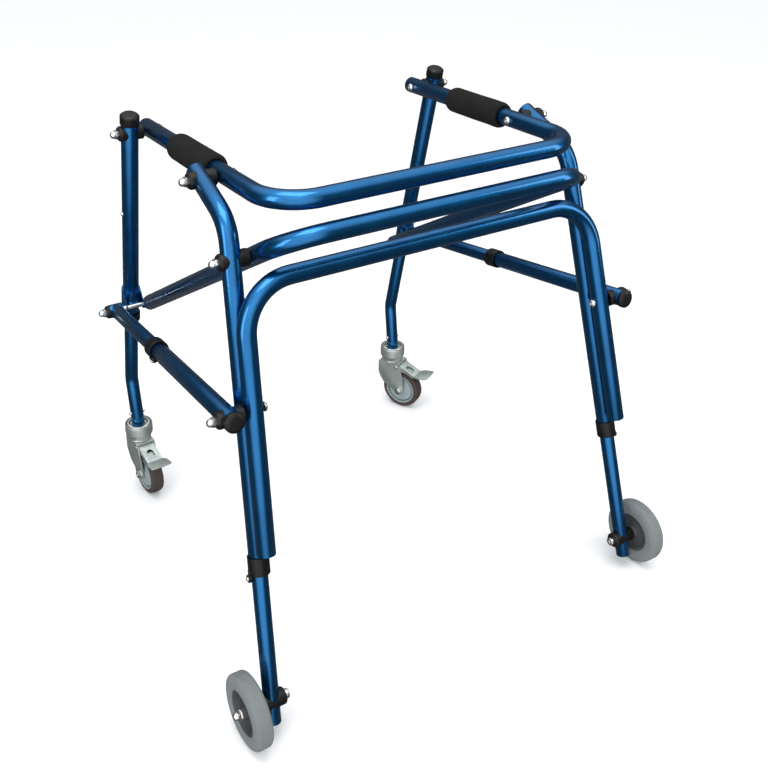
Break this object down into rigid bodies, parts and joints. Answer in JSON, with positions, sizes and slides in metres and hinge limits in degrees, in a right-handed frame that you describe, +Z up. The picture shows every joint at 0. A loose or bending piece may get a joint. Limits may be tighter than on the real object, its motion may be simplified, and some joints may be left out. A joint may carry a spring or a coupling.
{
  "type": "walking frame",
  "caption": "Folding posterior walking frame in blue tube: bent rails behind the user, telescoping legs and braces, rear wheels and braked front casters.",
  "frame": {"origin": "on the floor, under the middle of the frame's bounding box", "axes": "+X across the frame to the right-hand side, +Y from the closed rear with its crossbars to the open front with the casters, +Z up"},
  "size_m": [0.7572, 0.6755, 0.7161],
  "materials": {
    "blue_tube": "anodised metallic blue on aluminium tube, glossy",
    "black_plastic": "satin moulded nylon",
    "grip_foam": "fine-celled foam, matt",
    "zinc": "bright zinc-plated pressed steel",
    "steel": "bright plated steel",
    "grey_tyre": "light grey rubber",
    "dark_hub": "moulded plastic",
    "brown_tyre": "grey-brown rubber",
    "grey_centre": "moulded plastic"
  },
  "bodies": {
    "frame": {"lower_frame": "blue_tube", "side_tube_left": "blue_tube", "rear_collar_left": "black_plastic", "handle_pivot_left": "black_plastic", "mid_pivot_left": "black_plastic", "side_tube_right": "blue_tube", "rear_collar_right": "black_plastic", "handle_pivot_right": "black_plastic", "mid_pivot_right": "black_plastic"},
    "handle": {"handle_rail": "blue_tube", "hand_grip_left": "grip_foam", "hand_grip_right": "grip_foam"},
    "mid": {"mid_rail": "blue_tube"},
    "leg_left": {"caster_leg_left": "blue_tube", "leg_cap_left": "black_plastic", "leg_bracket_left": "blue_tube", "leg_collar_left": "black_plastic", "leg_pivot_left": "black_plastic"},
    "brace_left": {"brace_tube_left": "blue_tube", "brace_collar_left": "black_plastic", "brace_pivot_left": "black_plastic"},
    "brace_slider_left": {"brace_rod_left": "blue_tube"},
    "brace_button_left": {"brace_button_left": "steel"},
    "leg_slider_left": {"leg_extension_left": "blue_tube", "caster_head_left": "zinc"},
    "leg_button_left": {"leg_button_left": "steel"},
    "rear_slider_left": {"rear_extension_left": "blue_tube", "rear_bushing_left": "black_plastic", "rear_axle_left": "steel"},
    "rear_button_left": {"rear_button_left": "steel"},
    "rear_wheel_left": {"rear_hub_left": "dark_hub", "rear_tyre_left": "grey_tyre"},
    "caster_left": {"caster_fork_left": "zinc"},
    "caster_wheel_left": {"caster_wheel_left": "grey_centre", "caster_tyre_left": "brown_tyre"},
    "caster_brake_left": {"caster_brake_left": "zinc"},
    "leg_right": {"caster_leg_right": "blue_tube", "leg_cap_right": "black_plastic", "leg_bracket_right": "blue_tube", "leg_collar_right": "black_plastic", "leg_pivot_right": "black_plastic"},
    "brace_right": {"brace_tube_right": "blue_tube", "brace_collar_right": "black_plastic", "brace_pivot_right": "black_plastic"},
    "brace_slider_right": {"brace_rod_right": "blue_tube"},
    "brace_button_right": {"brace_button_right": "steel"},
    "leg_slider_right": {"leg_extension_right": "blue_tube", "caster_head_right": "zinc"},
    "leg_button_right": {"leg_button_right": "steel"},
    "rear_slider_right": {"rear_extension_right": "blue_tube", "rear_bushing_right": "black_plastic", "rear_axle_right": "steel"},
    "rear_button_right": {"rear_button_right": "steel"},
    "rear_wheel_right": {"rear_hub_right": "dark_hub", "rear_tyre_right": "grey_tyre"},
    "caster_right": {"caster_fork_right": "zinc"},
    "caster_wheel_right": {"caster_wheel_right": "grey_centre", "caster_tyre_right": "brown_tyre"},
    "caster_brake_right": {"caster_brake_right": "zinc"}
  },
  "joints": [
    {"name": "handle_fold", "type": "hinge", "parent": "frame", "child": "handle", "pos_m": [0, -0.0255, 0.69535], "axis": [1, 0, 0], "range_deg": [-45, 0]},
    {"name": "mid_hinge", "type": "hinge", "parent": "frame", "child": "mid", "pos_m": [0, -0.11883, 0.62183], "axis": [1, 0, 0], "range_deg": [-32.47, 0]},
    {"name": "leg_hinge_left", "type": "hinge", "parent": "handle", "child": "leg_left", "pos_m": [-0.2705, 0.225, 0.6842], "axis": [1, 0, 0], "range_deg": [0, 24.5]},
    {"name": "brace_hinge_left", "type": "hinge", "parent": "frame", "child": "brace_left", "pos_m": [-0.324, -0.19521, 0.4528], "axis": [1, 0, 0], "range_deg": [-32.15, 0]},
    {"name": "brace_slide_left", "type": "slide", "parent": "brace_left", "child": "brace_slider_left", "axis": [0.0463, 0.9865, -0.1569], "range_m": [-0.10307, 0]},
    {"name": "brace_button_press_left", "type": "slide", "parent": "brace_left", "child": "brace_button_left", "axis": [0.7557, 0.0681, 0.6514], "range_m": [0, 0.0018], "stiffness_N_per_m": 1200, "springref_m": -0.001},
    {"name": "leg_extend_left", "type": "slide", "parent": "leg_left", "child": "leg_slider_left", "axis": [0, 0.2058, -0.9786], "range_m": [-0.06, 0.03]},
    {"name": "leg_button_press_left", "type": "slide", "parent": "leg_left", "child": "leg_button_left", "axis": [1, 0, 0], "range_m": [0, 0.0018], "stiffness_N_per_m": 1200, "springref_m": -0.001},
    {"name": "rear_extend_left", "type": "slide", "parent": "frame", "child": "rear_slider_left", "axis": [-0.0746, -0.2802, -0.957], "range_m": [-0.06, 0.03]},
    {"name": "rear_button_press_left", "type": "slide", "parent": "frame", "child": "rear_button_left", "axis": [0.9972, -0.021, -0.0716], "range_m": [0, 0.0018], "stiffness_N_per_m": 1200, "springref_m": -0.001},
    {"name": "rear_spin_left", "type": "hinge", "parent": "rear_slider_left", "child": "rear_wheel_left", "pos_m": [-0.3545, -0.28568, 0.052], "axis": [1, 0, 0], "continuous": true},
    {"name": "caster_swivel_left", "type": "hinge", "parent": "leg_slider_left", "child": "caster_left", "pos_m": [-0.2705, 0.3102, 0.101], "axis": [0, 0, 1], "continuous": true},
    {"name": "caster_spin_left", "type": "hinge", "parent": "caster_left", "child": "caster_wheel_left", "pos_m": [-0.26862, 0.28327, 0.0395], "axis": [0.9976, 0.0698, 0], "continuous": true},
    {"name": "caster_brake_left", "type": "hinge", "parent": "caster_left", "child": "caster_brake_left", "pos_m": [-0.26924, 0.29224, 0.091], "axis": [0.9976, 0.0698, 0], "range_deg": [0, 7.5]},
    {"name": "leg_hinge_right", "type": "hinge", "parent": "handle", "child": "leg_right", "pos_m": [0.2705, 0.225, 0.6842], "axis": [1, 0, 0], "range_deg": [0, 24.5]},
    {"name": "brace_hinge_right", "type": "hinge", "parent": "frame", "child": "brace_right", "pos_m": [0.324, -0.19521, 0.4528], "axis": [1, 0, 0], "range_deg": [-32.15, 0]},
    {"name": "brace_slide_right", "type": "slide", "parent": "brace_right", "child": "brace_slider_right", "axis": [-0.0463, 0.9865, -0.1569], "range_m": [-0.10307, 0]},
    {"name": "brace_button_press_right", "type": "slide", "parent": "brace_right", "child": "brace_button_right", "axis": [-0.7557, 0.0681, 0.6514], "range_m": [0, 0.0018], "stiffness_N_per_m": 1200, "springref_m": -0.001},
    {"name": "leg_extend_right", "type": "slide", "parent": "leg_right", "child": "leg_slider_right", "axis": [0, 0.2058, -0.9786], "range_m": [-0.06, 0.03]},
    {"name": "leg_button_press_right", "type": "slide", "parent": "leg_right", "child": "leg_button_right", "axis": [-1, 0, 0], "range_m": [0, 0.0018], "stiffness_N_per_m": 1200, "springref_m": -0.001},
    {"name": "rear_extend_right", "type": "slide", "parent": "frame", "child": "rear_slider_right", "axis": [0.0746, -0.2802, -0.957], "range_m": [-0.06, 0.03]},
    {"name": "rear_button_press_right", "type": "slide", "parent": "frame", "child": "rear_button_right", "axis": [-0.9972, -0.021, -0.0716], "range_m": [0, 0.0018], "stiffness_N_per_m": 1200, "springref_m": -0.001},
    {"name": "rear_spin_right", "type": "hinge", "parent": "rear_slider_right", "child": "rear_wheel_right", "pos_m": [0.3545, -0.28568, 0.052], "axis": [1, 0, 0], "continuous": true},
    {"name": "caster_swivel_right", "type": "hinge", "parent": "leg_slider_right", "child": "caster_right", "pos_m": [0.2705, 0.3102, 0.101], "axis": [0, 0, 1], "continuous": true},
    {"name": "caster_spin_right", "type": "hinge", "parent": "caster_right", "child": "caster_wheel_right", "pos_m": [0.28276, 0.28614, 0.0395], "axis": [0.891, 0.454, 0], "continuous": true},
    {"name": "caster_brake_right", "type": "hinge", "parent": "caster_right", "child": "caster_brake_right", "pos_m": [0.27867, 0.29416, 0.091], "axis": [0.891, 0.454, 0], "range_deg": [0, 7.5]}
  ],
  "couplings": [
    {"joint": "mid_hinge", "follows": "handle_fold", "ratio": 0.717},
    {"joint": "leg_hinge_left", "follows": "handle_fold", "ratio": -0.54},
    {"joint": "brace_hinge_left", "follows": "handle_fold", "ratio": 0.71},
    {"joint": "brace_slide_left", "follows": "handle_fold", "m_per_rad": 0.1306},
    {"joint": "leg_hinge_right", "follows": "handle_fold", "ratio": -0.54},
    {"joint": "brace_hinge_right", "follows": "handle_fold", "ratio": 0.71},
    {"joint": "brace_slide_right", "follows": "handle_fold", "m_per_rad": 0.1306}
  ]
}
